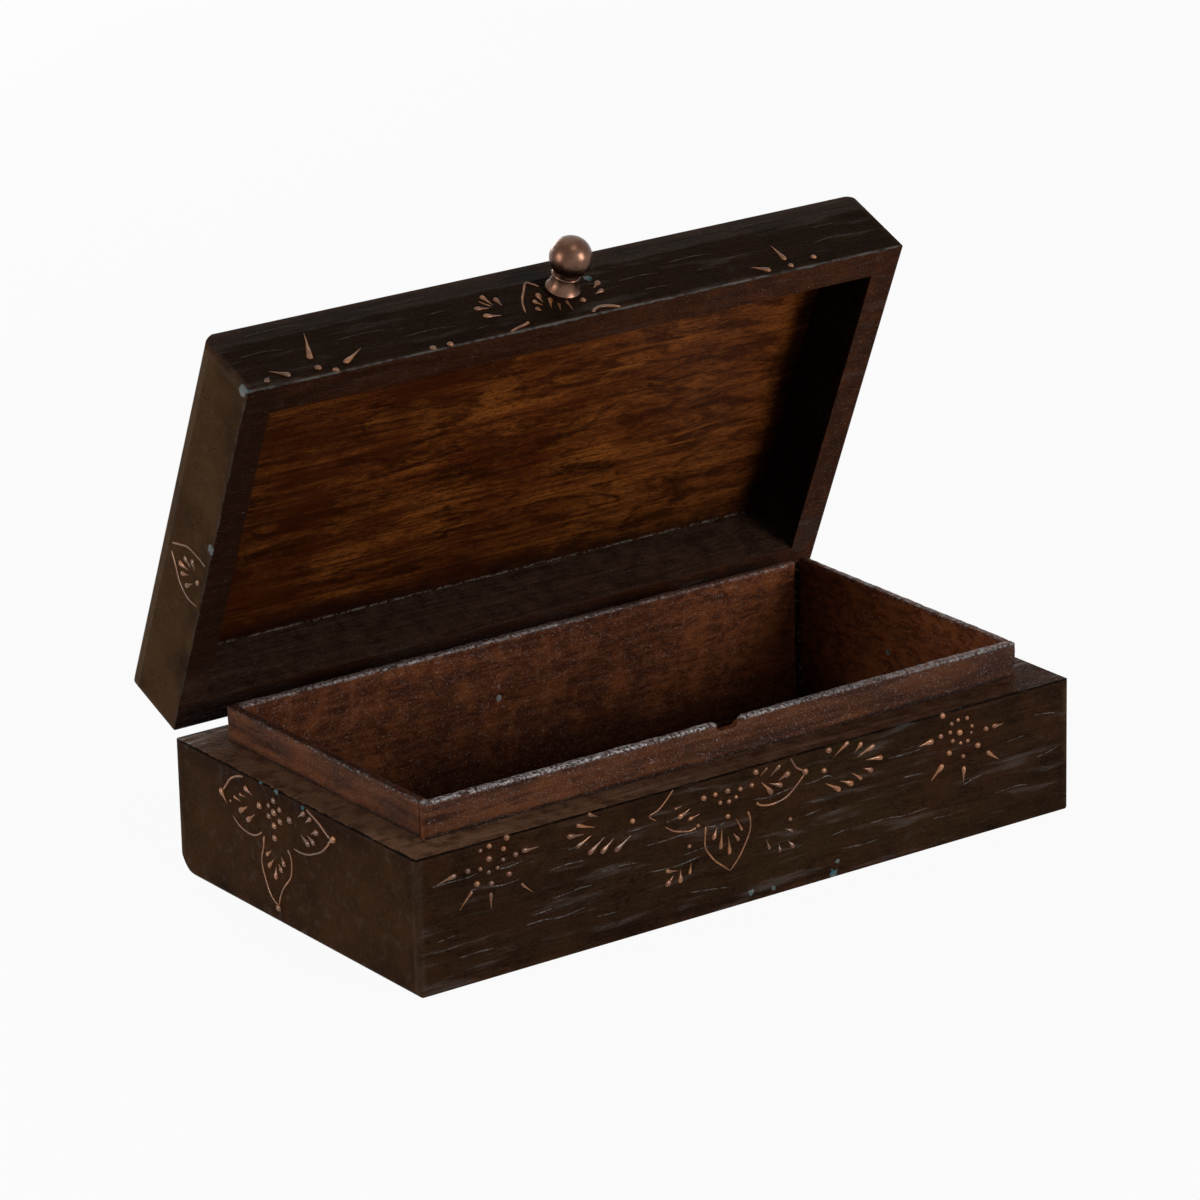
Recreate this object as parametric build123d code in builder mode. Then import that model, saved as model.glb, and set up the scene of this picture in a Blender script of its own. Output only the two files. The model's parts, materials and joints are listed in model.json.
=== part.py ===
"""Hinged wooden keepsake box, standing open.

The box is nailed up from boards: a base of four walls on a bottom board, a
thin liner inside it whose top stands up as a lip, and a lid of four walls
under a top board. Two butt hinges on the back carry the lid, and a turned
metal knob on its front lifts it. Millimetres, +Z up, -Y is the front, and
the origin is the middle of the underside.
"""
import os

from build123d import *

# Overall sizes of the closed box
length = 250.0
depth = 133.0
base_height = 44.0
lid_height = 28.5
lid_gap = 0.4

# Boards
board_thickness = 7.0
base_wall = 11.8
lid_wall = 10.2
liner_thickness = 3.2
lip_height = 11.6
liner_end_gap = 3.0

# Rounded and worn edges
base_heel_radius = 10.0
lid_heel_radius = 8.5
lid_end_radius = 4.0
lid_brow_radius = 2.0
foot_radius = 1.6
corner_radius = 1.2
rim_radius = 0.8
lip_radius = 0.5

# Notch cut by hand in the front lip, which lets the knob's screw head pass
notch_width = 10.4
notch_depth = 2.8
notch_slope = 3.9
notch_shift = 0.5

# The lid stands open this far on its stiff hinges
lid_angle = 67.0

# Hinges
hinge_place = 60.0
hinge_length = 25.0
hinge_leaf_height = 9.0
hinge_leaf_thickness = 0.9
hinge_barrel_radius = 1.8
hinge_barrel_clearance = 0.15
hinge_pin_radius = 0.8
hinge_pin_clearance = 0.05
hinge_pin_head_radius = 1.3
hinge_pin_head_thickness = 0.5
knuckle_count = 5
knuckle_gap = 0.3
hinge_leaf_corner = 0.8
hinge_screw_spacing = 15.0
hinge_screw_edge = 3.4
hinge_screw_radius = 1.1
hinge_screw_head_radius = 2.0
hinge_screw_length = 8.0
screw_hole_clearance = 0.05
driver_slot_width = 0.5
driver_slot_depth = 0.45

# Nails and liner pins
nail_width = 1.2
nail_head_radius = 1.5
nail_head_sides = 8
nail_head_thickness = 0.6
nail_length = 24.0
nail_sink = 0.8
nail_edge = 6.5
bottom_nail_sink = 0.5
bottom_nail_inset = 8.6
lid_nail_sink = 2.2
board_nail_spacing = 60.0
board_nails_per_side = 4
liner_pin_width = 0.9
liner_pin_head_radius = 1.1
liner_pin_length = 8.0
liner_pin_height = 35.7
long_pin_shift = -13.0
end_pin_shift = 6.7

# Knob, its screw and washer
knob_ball_radius = 6.8
knob_ball_distance = 12.6
knob_foot_radius = 5.7
knob_foot_rim = 1.0
knob_neck_radius = 4.1
knob_neck_start = 5.4
knob_bead_radius = 0.55
knob_bore_depth = 10.0
knob_screw_radius = 2.0
knob_screw_clearance = 0.1
knob_screw_reach = 8.0
knob_screw_head_radius = 3.5
knob_screw_head_height = 2.2
washer_radius = 4.5
washer_thickness = 0.8

# Places that follow from those sizes
half_length = length / 2
half_depth = depth / 2
wall_height = base_height - board_thickness
liner_height = wall_height + lip_height
liner_top = base_height + lip_height
lid_rim = base_height + lid_gap
lid_top = lid_rim + lid_height
lid_wall_height = lid_height - board_thickness
inner_half_length = half_length - base_wall
inner_half_depth = half_depth - base_wall
room_half_length = inner_half_length - liner_thickness
room_half_depth = inner_half_depth - liner_thickness
hinge_y = half_depth + hinge_barrel_radius + hinge_barrel_clearance
hinge_z = base_height + lid_gap / 2
hinge_bore_radius = hinge_pin_radius + hinge_pin_clearance
hinge_x = (-hinge_place, hinge_place)
knob_z = lid_rim + lid_height / 2
lid_front_inside = -half_depth + lid_wall

OUTWARD = (Align.CENTER, Align.CENTER, Align.MAX)
INWARD = (Align.CENTER, Align.CENTER, Align.MIN)


def finish(piece, name):
    """Label a piece of the base and write it under its own name."""
    piece.part.label = name
    export_step(piece.part, f"parts/{name}.step")


def finish_on_lid(closed_piece, name):
    """Swing a piece that was made with the lid shut to where the lid stands open."""
    hinge_axis = Axis((0, hinge_y, hinge_z), (1, 0, 0))
    with BuildPart() as piece:
        add(closed_piece.part.rotate(hinge_axis, -lid_angle))
    finish(piece, name)


def worn_block(bottom, top, heel_group, heel_radius, brow_radius, end_radius):
    """The rounded outer form that the boards of the base or the lid are cut to.

    Its side, front and plan outlines are each rounded, and it is what all
    three leave. heel_group is 0 where the rounded edges are at the bottom
    and -1 where they are at the top.
    """
    height = top - bottom
    middle = (bottom + top) / 2
    with BuildPart() as block:
        with BuildSketch(Plane.YZ.offset(-half_length)) as side:
            with Locations((0, middle)):
                Rectangle(depth, height)
            heel_corners = side.vertices().group_by(Axis.Y)[heel_group].sort_by(Axis.X)
            rim_corners = side.vertices().group_by(Axis.Y)[-1 - heel_group]
            fillet(heel_corners[-1], heel_radius)
            fillet(heel_corners[0], brow_radius)
            fillet(rim_corners, rim_radius)
        extrude(amount=length)
        with BuildSketch(Plane.XZ.offset(-half_depth)) as front:
            with Locations((0, middle)):
                Rectangle(length, height)
            fillet(front.vertices().group_by(Axis.Y)[heel_group], end_radius)
            fillet(front.vertices().group_by(Axis.Y)[-1 - heel_group], rim_radius)
        extrude(amount=depth, mode=Mode.INTERSECT)
        with BuildSketch(Plane.XY.offset(bottom)):
            RectangleRounded(length, depth, corner_radius)
        extrude(amount=height, mode=Mode.INTERSECT)
    return block.part


def driven(places, head_radius, width, reach):
    """Square nails with clipped flat heads, one for each plane, which faces the hammer."""
    with BuildPart() as nails:
        with BuildSketch(*places):
            RegularPolygon(head_radius, nail_head_sides)
        extrude(amount=-nail_head_thickness)
        with BuildSketch(*places):
            Rectangle(width, width)
        extrude(amount=-reach)
    return nails


def long_wall_nails(bottom, top, wall):
    """Where the nails of a frame's corners go in: two through each end of each long wall."""
    return [
        Plane(origin=(end * (half_length - wall / 2), side * (half_depth - nail_sink), level),
              z_dir=(0, side, 0))
        for end in (-1, 1)
        for side in (-1, 1)
        for level in (bottom + nail_edge, top - nail_edge)
    ]


def board_nails(level, outward, inset):
    """Where the nails of a flat board go in: a row along each long wall and one at each end."""
    first = -board_nail_spacing * (board_nails_per_side - 1) / 2
    along = [(first + board_nail_spacing * nail, side * (half_depth - inset))
             for nail in range(board_nails_per_side) for side in (-1, 1)]
    ends = [(end * (half_length - inset), 0) for end in (-1, 1)]
    return [Plane(origin=(x, y, level), z_dir=(0, 0, outward)) for x, y in along + ends]


def hinge_leaf(centre, first_knuckle, below):
    """One leaf: a flat plate on the back of the box with every second knuckle of the barrel."""
    pitch = hinge_length / knuckle_count
    side = -1 if below else 1
    start = centre - hinge_length / 2
    clear = hinge_barrel_radius + knuckle_gap
    screw_level = hinge_z + side * (hinge_leaf_height - hinge_screw_edge)
    with BuildPart() as leaf:
        with BuildSketch(Plane.YZ.offset(start)):
            with Locations((half_depth + hinge_leaf_thickness / 2,
                            hinge_z + side * (clear + hinge_leaf_height) / 2)):
                Rectangle(hinge_leaf_thickness, hinge_leaf_height - clear)
        extrude(amount=hinge_length)
        for knuckle in range(first_knuckle, knuckle_count, 2):
            left = start + knuckle * pitch + (knuckle_gap / 2 if knuckle else 0)
            right = start + (knuckle + 1) * pitch
            if knuckle < knuckle_count - 1:
                right = right - knuckle_gap / 2
            with BuildSketch(Plane.YZ.offset(left)):
                with Locations((hinge_y, hinge_z)):
                    Circle(hinge_barrel_radius)
                with Locations((half_depth + hinge_leaf_thickness / 2, hinge_z + side * clear / 2)):
                    Rectangle(hinge_leaf_thickness, clear)
            extrude(amount=right - left)
        outer_edges = leaf.edges().filter_by(Axis.Y).group_by(Axis.Z)
        fillet(outer_edges[0 if below else -1], hinge_leaf_corner)
        with Locations(Plane(origin=(start, hinge_y, hinge_z), z_dir=(1, 0, 0))):
            Cylinder(hinge_bore_radius, hinge_length, align=INWARD, mode=Mode.SUBTRACT)
        with Locations(*[Plane(origin=(centre + shift, half_depth + hinge_leaf_thickness, screw_level),
                               z_dir=(0, 1, 0))
                         for shift in (-hinge_screw_spacing / 2, hinge_screw_spacing / 2)]):
            CounterSinkHole(hinge_screw_radius + screw_hole_clearance,
                            hinge_screw_head_radius + screw_hole_clearance,
                            depth=hinge_leaf_thickness, counter_sink_angle=90)
    return leaf


def hinge_screws(side):
    """Slotted countersunk wood screws, flush in the leaves, two to a leaf."""
    level = hinge_z + side * (hinge_leaf_height - hinge_screw_edge)
    places = [
        Plane(origin=(centre + shift, half_depth + hinge_leaf_thickness, level), z_dir=(0, 1, 0))
        for centre in hinge_x
        for shift in (-hinge_screw_spacing / 2, hinge_screw_spacing / 2)
    ]
    cone_height = hinge_screw_head_radius - hinge_screw_radius
    with BuildPart() as screws:
        with Locations(*places):
            Cone(hinge_screw_radius, hinge_screw_head_radius, cone_height, align=OUTWARD)
            Cylinder(hinge_screw_radius, hinge_screw_length, align=OUTWARD)
            Box(2 * hinge_screw_head_radius, driver_slot_width, driver_slot_depth,
                align=OUTWARD, mode=Mode.SUBTRACT)
    return screws


def hinge_pin(centre):
    """The pin of one hinge, with a thin head riveted at each end."""
    start = centre - hinge_length / 2
    with BuildPart() as pin:
        with Locations(Plane(origin=(start, hinge_y, hinge_z), z_dir=(1, 0, 0))):
            Cylinder(hinge_pin_radius, hinge_length, align=INWARD)
            Cylinder(hinge_pin_head_radius, hinge_pin_head_thickness, align=OUTWARD)
        with Locations(Plane(origin=(start + hinge_length, hinge_y, hinge_z), z_dir=(1, 0, 0))):
            Cylinder(hinge_pin_head_radius, hinge_pin_head_thickness, align=INWARD)
    return pin


os.makedirs("parts", exist_ok=True)

base_form = worn_block(0, base_height, 0, base_heel_radius, foot_radius, foot_radius)
lid_form = worn_block(lid_rim, lid_top, -1, lid_heel_radius, lid_brow_radius, lid_end_radius)

# Nails and screws come first, because the boards are cut round them
base_corner_nails = driven(long_wall_nails(board_thickness, base_height, base_wall),
                           nail_head_radius, nail_width, nail_length)
bottom_nails = driven(board_nails(bottom_nail_sink, -1, bottom_nail_inset),
                      nail_head_radius, nail_width, nail_length)
lid_corner_nails = driven(long_wall_nails(lid_rim, lid_top - board_thickness, lid_wall),
                          nail_head_radius, nail_width, nail_length)
lid_top_nails = driven(board_nails(lid_top - lid_nail_sink, 1, lid_wall / 2),
                       nail_head_radius, nail_width, lid_wall_height)
liner_pins = driven(
    [Plane(origin=(long_pin_shift, side * room_half_depth, liner_pin_height), z_dir=(0, -side, 0))
     for side in (-1, 1)]
    + [Plane(origin=(end * room_half_length, end_pin_shift, liner_pin_height), z_dir=(-end, 0, 0))
       for end in (-1, 1)],
    liner_pin_head_radius, liner_pin_width, liner_pin_length)
hinge_base_screws = hinge_screws(-1)
hinge_lid_screws = hinge_screws(1)

# Base
with BuildPart() as base_bottom_board:
    with BuildSketch():
        Rectangle(length, depth)
    extrude(amount=board_thickness)
    add(base_form, mode=Mode.INTERSECT)
    with BuildSketch(*board_nails(0, -1, bottom_nail_inset)):
        RegularPolygon(nail_head_radius, nail_head_sides)
    extrude(amount=-bottom_nail_sink, mode=Mode.SUBTRACT)
    add(bottom_nails.part, mode=Mode.SUBTRACT)
finish(base_bottom_board, "base_bottom_board")

for side, name in ((-1, "base_front_wall"), (1, "base_back_wall")):
    with BuildPart() as long_wall:
        with BuildSketch(Plane.XY.offset(board_thickness)):
            with Locations((0, side * (half_depth - base_wall / 2))):
                Rectangle(length, base_wall)
        extrude(amount=wall_height)
        add(base_form, mode=Mode.INTERSECT)
        add(base_corner_nails.part, mode=Mode.SUBTRACT)
        add(bottom_nails.part, mode=Mode.SUBTRACT)
        add(liner_pins.part, mode=Mode.SUBTRACT)
        if side > 0:
            add(hinge_base_screws.part, mode=Mode.SUBTRACT)
    finish(long_wall, name)

for end, name in ((-1, "base_left_wall"), (1, "base_right_wall")):
    with BuildPart() as end_wall:
        with BuildSketch(Plane.XY.offset(board_thickness)):
            with Locations((end * (half_length - base_wall / 2), 0)):
                Rectangle(base_wall, 2 * inner_half_depth)
        extrude(amount=wall_height)
        add(base_form, mode=Mode.INTERSECT)
        add(base_corner_nails.part, mode=Mode.SUBTRACT)
        add(bottom_nails.part, mode=Mode.SUBTRACT)
        add(liner_pins.part, mode=Mode.SUBTRACT)
    finish(end_wall, name)

# Liner, whose top stands above the rim as the lip that the lid closes over
with BuildPart() as front_liner:
    with BuildSketch(Plane.XY.offset(board_thickness)):
        with Locations((0, -inner_half_depth + liner_thickness / 2)):
            Rectangle(2 * inner_half_length, liner_thickness)
    extrude(amount=liner_height)
    fillet(front_liner.edges().group_by(Axis.Z)[-1], lip_radius)
    with BuildSketch(Plane.XZ.offset(inner_half_depth)):
        with BuildLine():
            Polyline(
                (notch_shift - notch_width / 2, liner_top),
                (notch_shift - notch_width / 2, liner_top - notch_depth),
                (notch_shift + notch_width / 2 - notch_slope, liner_top - notch_depth),
                (notch_shift + notch_width / 2, liner_top),
                close=True,
            )
        make_face()
    extrude(amount=-liner_thickness, mode=Mode.SUBTRACT)
    add(liner_pins.part, mode=Mode.SUBTRACT)
finish(front_liner, "front_liner")

with BuildPart() as back_liner:
    with BuildSketch(Plane.XY.offset(board_thickness)):
        with Locations((-liner_end_gap / 2, inner_half_depth - liner_thickness / 2)):
            Rectangle(2 * room_half_length - liner_end_gap, liner_thickness)
    extrude(amount=liner_height)
    fillet(back_liner.edges().group_by(Axis.Z)[-1], lip_radius)
    add(liner_pins.part, mode=Mode.SUBTRACT)
finish(back_liner, "back_liner")

for end, name in ((-1, "left_liner"), (1, "right_liner")):
    with BuildPart() as end_liner:
        with BuildSketch(Plane.XY.offset(board_thickness)):
            with Locations((end * (inner_half_length - liner_thickness / 2), liner_thickness / 2)):
                Rectangle(liner_thickness, 2 * inner_half_depth - liner_thickness)
        extrude(amount=liner_height)
        fillet(end_liner.edges().group_by(Axis.Z)[-1], lip_radius)
        add(liner_pins.part, mode=Mode.SUBTRACT)
    finish(end_liner, name)

finish(base_corner_nails, "base_corner_nails")
finish(bottom_nails, "bottom_nails")
finish(liner_pins, "liner_pins")

# Hinges: the pin and the leaf with the outer knuckles stay with the base
for centre, hand in zip(hinge_x, ("left", "right")):
    finish(hinge_leaf(centre, 0, True), f"{hand}_hinge_base_leaf")
    finish_on_lid(hinge_leaf(centre, 1, False), f"{hand}_hinge_lid_leaf")
    finish(hinge_pin(centre), f"{hand}_hinge_pin")
finish(hinge_base_screws, "hinge_base_screws")
finish_on_lid(hinge_lid_screws, "hinge_lid_screws")

# Lid
with BuildPart() as lid_top_board:
    with BuildSketch(Plane.XY.offset(lid_top - board_thickness)):
        Rectangle(length, depth)
    extrude(amount=board_thickness)
    add(lid_form, mode=Mode.INTERSECT)
    add(lid_top_nails.part, mode=Mode.SUBTRACT)
finish_on_lid(lid_top_board, "lid_top_board")

for side, name in ((-1, "lid_front_wall"), (1, "lid_back_wall")):
    with BuildPart() as long_wall:
        with BuildSketch(Plane.XY.offset(lid_rim)):
            with Locations((0, side * (half_depth - lid_wall / 2))):
                Rectangle(length, lid_wall)
        extrude(amount=lid_wall_height)
        add(lid_form, mode=Mode.INTERSECT)
        add(lid_corner_nails.part, mode=Mode.SUBTRACT)
        add(lid_top_nails.part, mode=Mode.SUBTRACT)
        if side > 0:
            add(hinge_lid_screws.part, mode=Mode.SUBTRACT)
        else:
            with Locations(Plane(origin=(0, -half_depth, knob_z), z_dir=(0, -1, 0))):
                Cylinder(knob_screw_radius + knob_screw_clearance, lid_wall,
                         align=OUTWARD, mode=Mode.SUBTRACT)
    finish_on_lid(long_wall, name)

for end, name in ((-1, "lid_left_wall"), (1, "lid_right_wall")):
    with BuildPart() as end_wall:
        with BuildSketch(Plane.XY.offset(lid_rim)):
            with Locations((end * (half_length - lid_wall / 2), 0)):
                Rectangle(lid_wall, depth - 2 * lid_wall)
        extrude(amount=lid_wall_height)
        add(lid_form, mode=Mode.INTERSECT)
        add(lid_corner_nails.part, mode=Mode.SUBTRACT)
        add(lid_top_nails.part, mode=Mode.SUBTRACT)
    finish_on_lid(end_wall, name)

finish_on_lid(lid_corner_nails, "lid_corner_nails")
finish_on_lid(lid_top_nails, "lid_top_nails")

# Knob, turned in one piece: foot, hollowed neck, bead and ball
knob_face = Plane(origin=(0, -half_depth, knob_z), x_dir=(1, 0, 0), z_dir=(0, -1, 0))
ball_start = knob_ball_distance - (knob_ball_radius**2 - knob_neck_radius**2) ** 0.5
bead_end = knob_neck_start + 2 * knob_bead_radius
knob_end = knob_ball_distance + knob_ball_radius
with BuildPart() as knob:
    with BuildSketch(Plane(origin=knob_face.origin, x_dir=(1, 0, 0), z_dir=(0, 0, 1))):
        with BuildLine():
            Line((0, 0), (knob_foot_radius, 0))
            Line((knob_foot_radius, 0), (knob_foot_radius, -knob_foot_rim))
            RadiusArc((knob_foot_radius, -knob_foot_rim), (knob_neck_radius, -knob_neck_start),
                      -2 * knob_neck_radius)
            ThreePointArc((knob_neck_radius, -knob_neck_start),
                          (knob_neck_radius + knob_bead_radius, -(knob_neck_start + knob_bead_radius)),
                          (knob_neck_radius, -bead_end))
            Line((knob_neck_radius, -bead_end), (knob_neck_radius, -ball_start))
            ThreePointArc((knob_neck_radius, -ball_start), (knob_ball_radius, -knob_ball_distance),
                          (0, -knob_end))
            Line((0, -knob_end), (0, 0))
        make_face()
    revolve(axis=Axis(knob_face.origin, (0, -1, 0)))
    with Locations(knob_face):
        Cylinder(knob_screw_radius + knob_screw_clearance, knob_bore_depth,
                 align=INWARD, mode=Mode.SUBTRACT)
finish_on_lid(knob, "knob")

washer_face = Plane(origin=(0, lid_front_inside, knob_z), x_dir=(1, 0, 0), z_dir=(0, 1, 0))
with BuildPart() as knob_washer:
    with Locations(washer_face):
        Cylinder(washer_radius, washer_thickness, align=INWARD)
        Cylinder(knob_screw_radius + knob_screw_clearance, washer_thickness,
                 align=INWARD, mode=Mode.SUBTRACT)
finish_on_lid(knob_washer, "knob_washer")

with BuildPart() as knob_screw:
    with Locations(washer_face.offset(washer_thickness)):
        Cylinder(knob_screw_head_radius, knob_screw_head_height, align=INWARD)
        Cylinder(knob_screw_radius, washer_thickness + lid_wall + knob_screw_reach, align=OUTWARD)
    head_rim = knob_screw.edges().filter_by(GeomType.CIRCLE).sort_by(Axis.Y)[-1]
    fillet(head_rim, knob_screw_head_height * 0.6)
    with Locations(washer_face.offset(washer_thickness + knob_screw_head_height)):
        Box(2 * knob_screw_head_radius, driver_slot_width * 2, driver_slot_depth * 2,
            align=OUTWARD, mode=Mode.SUBTRACT)
finish_on_lid(knob_screw, "knob_screw")
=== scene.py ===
"""Painted wooden keepsake box, standing open: its finish, painted flowers, lights and camera."""
import json
from math import sin, cos, pi, radians

import bpy
from mathutils import Matrix, Vector


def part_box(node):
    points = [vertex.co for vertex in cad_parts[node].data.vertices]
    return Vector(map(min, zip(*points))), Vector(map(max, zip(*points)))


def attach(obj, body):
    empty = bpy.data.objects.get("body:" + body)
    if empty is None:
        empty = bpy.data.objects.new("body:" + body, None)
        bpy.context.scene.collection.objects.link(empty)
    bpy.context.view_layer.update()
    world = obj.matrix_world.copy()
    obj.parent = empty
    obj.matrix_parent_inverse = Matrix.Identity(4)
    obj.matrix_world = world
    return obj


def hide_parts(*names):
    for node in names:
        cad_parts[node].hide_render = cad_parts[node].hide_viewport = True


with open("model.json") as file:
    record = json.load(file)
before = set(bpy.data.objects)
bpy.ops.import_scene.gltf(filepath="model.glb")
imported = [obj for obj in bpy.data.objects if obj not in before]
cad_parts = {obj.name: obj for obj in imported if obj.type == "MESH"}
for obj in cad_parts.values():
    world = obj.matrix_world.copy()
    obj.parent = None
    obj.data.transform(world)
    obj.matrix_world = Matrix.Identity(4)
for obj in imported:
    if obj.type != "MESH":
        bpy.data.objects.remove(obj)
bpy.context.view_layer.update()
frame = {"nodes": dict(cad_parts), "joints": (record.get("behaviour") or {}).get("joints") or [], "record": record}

MM = 0.001

# Sizes of the box, in metres, read from the frame
bottom_low, bottom_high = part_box("base_bottom_board")
half_length = bottom_high[0]
half_depth = -bottom_low[1]
base_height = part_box("base_left_wall")[1][2]

# Sizes of its boards, in millimetres, by which the finishes tell one face from another
BASE_WALL = 11.8        # thickness of the base's walls
LID_WALL = 10.2         # and of the lid's walls
TOP_BOARD = 7.0         # and of the lid's top board
TOP_SEAM = 21.3         # height of the pale line at the joint under the top board, over the lid's rim
LIP_TOP = 55.6          # height of the lip's top, over the underside of the box

# The lid's own frame: its rim centre, and the ways to the front and from rim to top
lid_joint = next(joint for joint in frame["joints"] if joint["name"] == "lid_hinge")
lid_open = -radians(lid_joint["range_deg"][0])
hinge = Vector(lid_joint["pos_m"])
lid_height = 28.5 * MM
lid_gap = 0.4 * MM
to_right = Vector((1, 0, 0))
lid_front = Vector((0, -cos(lid_open), sin(lid_open)))
lid_up = Vector((0, sin(lid_open), cos(lid_open)))
rim_centre = Vector((0, hinge.y, hinge.z)) + lid_front * hinge.y + lid_up * (lid_gap / 2)

# Camera, fitted to the outline of the box in the photograph
VIEW_AZIMUTH = radians(-35.35)
VIEW_ELEVATION = radians(19.13)
VIEW_ROLL = radians(-1.32)
VIEW_DISTANCE = 1.8659
VIEW_TARGET = Vector((-9.0 * MM, 0, 81.8 * MM))
LENS = 180
SENSOR = 36


def place_camera():
    """The camera at the photograph's viewing angle."""
    turn = (Matrix.Rotation(VIEW_AZIMUTH, 4, "Z") @ Matrix.Rotation(pi / 2 - VIEW_ELEVATION, 4, "X")
            @ Matrix.Rotation(VIEW_ROLL, 4, "Z"))
    bpy.ops.object.camera_add()
    camera = bpy.context.object
    place = VIEW_TARGET + turn.to_3x3() @ Vector((0, 0, VIEW_DISTANCE))
    camera.matrix_world = Matrix.Translation(place) @ turn
    camera.data.lens = LENS
    camera.data.sensor_width = SENSOR
    bpy.context.scene.camera = camera


def place_light(name, azimuth, elevation, distance, size, power):
    """A soft box that looks at the middle of the box from one side."""
    aim = Vector((0, 0, 60 * MM))
    a, e = radians(azimuth), radians(elevation)
    back = Vector((sin(a) * cos(e), -cos(a) * cos(e), sin(e)))
    bpy.ops.object.light_add(type="AREA", location=aim + back * distance)
    lamp = bpy.context.object
    lamp.name = name
    lamp.rotation_euler = back.to_track_quat("Z", "Y").to_euler()
    lamp.data.shape = "RECTANGLE"
    lamp.data.size, lamp.data.size_y = size
    lamp.data.energy = power


class Shader:
    """Short names for the nodes of one material."""

    def __init__(self, name):
        self.material = bpy.data.materials.new(name)
        self.material.use_nodes = True
        self.tree = self.material.node_tree
        self.surface = self.tree.nodes["Principled BSDF"]
        self.place = self.new("ShaderNodeTexCoord").outputs["Object"]

    def new(self, kind, **settings):
        node = self.tree.nodes.new(kind)
        for key, value in settings.items():
            setattr(node, key, value)
        return node

    def put(self, socket, value):
        if isinstance(value, bpy.types.NodeSocket):
            self.tree.links.new(value, socket)
        elif isinstance(value, (tuple, list)) and len(value) == 3 and socket.type == "RGBA":
            socket.default_value = (*value, 1)
        else:
            socket.default_value = value

    def math(self, operation, a, b=0.0, c=0.0):
        node = self.new("ShaderNodeMath", operation=operation)
        for socket, value in zip(node.inputs, (a, b, c)):
            self.put(socket, value)
        return node.outputs[0]

    def mapped(self, vector, scale=(1, 1, 1), turn=(0, 0, 0), origin=(0, 0, 0), kind="POINT"):
        node = self.new("ShaderNodeMapping", vector_type=kind)
        self.put(node.inputs["Vector"], vector)
        node.inputs["Scale"].default_value = scale
        node.inputs["Rotation"].default_value = turn
        node.inputs["Location"].default_value = origin
        return node.outputs[0]

    def noise(self, vector, scale, detail=3.0, rough=0.5, bend=0.0):
        node = self.new("ShaderNodeTexNoise")
        self.put(node.inputs["Vector"], vector)
        for key, value in (("Scale", scale), ("Detail", detail),
                           ("Roughness", rough), ("Distortion", bend)):
            node.inputs[key].default_value = value
        return node.outputs["Fac"]

    def step(self, value, low, high, start=0.0, end=1.0):
        node = self.new("ShaderNodeMapRange", interpolation_type="SMOOTHSTEP")
        for key, amount in (("Value", value), ("From Min", low), ("From Max", high),
                            ("To Min", start), ("To Max", end)):
            self.put(node.inputs[key], amount)
        return node.outputs["Result"]

    def mix(self, share, first, second):
        node = self.new("ShaderNodeMix", data_type="RGBA")
        self.put(node.inputs["Factor"], share)
        self.put(node.inputs[6], first)
        self.put(node.inputs[7], second)
        return node.outputs[2]

    def split(self, vector):
        node = self.new("ShaderNodeSeparateXYZ")
        self.put(node.inputs[0], vector)
        return node.outputs

    def bump(self, height, distance, strength=1.0, below=None):
        node = self.new("ShaderNodeBump")
        self.put(node.inputs["Height"], height)
        node.inputs["Distance"].default_value = distance
        node.inputs["Strength"].default_value = strength
        if below is not None:
            self.put(node.inputs["Normal"], below)
        return node.outputs[0]

    def finish(self, colour, rough, normal=None, metal=0.0, specular=0.5):
        self.put(self.surface.inputs["Base Color"], colour)
        self.put(self.surface.inputs["Roughness"], rough)
        self.surface.inputs["Metallic"].default_value = metal
        if specular is not None:
            self.surface.inputs["Specular IOR Level"].default_value = specular
        if normal is not None:
            self.put(self.surface.inputs["Normal"], normal)
        return self.material


# Colours, as linear red, green and blue
PAINT_DARK = (0.0085, 0.0042, 0.0020)
PAINT_BROWN = (0.0270, 0.0130, 0.0062)
PAINT_RED = (0.038, 0.0140, 0.0060)
PAINT_END = (0.0285, 0.0125, 0.0042)
PAINT_OLIVE = (0.0440, 0.0225, 0.0085)
BASE_END_LOW = (0.021, 0.0080, 0.0024)
BASE_END_HIGH = (0.0310, 0.0132, 0.0040)
GROUND_PALE = (0.105, 0.098, 0.090)
STAIN_DARK = (0.0120, 0.0040, 0.0020)
STAIN_RED = (0.040, 0.0135, 0.0060)
STAIN_PALE = (0.075, 0.034, 0.020)
AMBER = (0.215, 0.063, 0.0115)
CHESTNUT = (0.076, 0.0158, 0.0032)
UMBER = (0.0085, 0.0026, 0.0010)
OLD_BLUE = (0.038, 0.125, 0.140)


def long_streaks(s, home, length, height, detail=4.0, bend=0.3):
    """Noise whose blots are as long and as high as given, in millimetres."""
    return s.noise(s.mapped(home, scale=(1 / length, 1 / height, 1 / height)), 1.0, detail, 0.6, bend)


def crests(s, value, width):
    """Thin lines along the middle height of a noise."""
    away = s.math("ABSOLUTE", s.math("SUBTRACT", value, 0.5))
    return s.step(away, 0.0, width, 1.0, 0.0)


def blots(s, home, spots, ragged):
    """Ragged patches at (x, y, z, radius)."""
    share = 0.0
    for x, y, z, radius in spots:
        away = s.new("ShaderNodeVectorMath", operation="DISTANCE")
        s.put(away.inputs[0], home)
        away.inputs[1].default_value = (x, y, z)
        reach = s.math("MULTIPLY_ADD", ragged, radius * 4.4, radius * -1.45)
        within = s.step(s.math("SUBTRACT", reach, away.outputs["Value"]), -0.1, 0.25)
        share = s.math("MAXIMUM", share, within)
    return share


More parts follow.
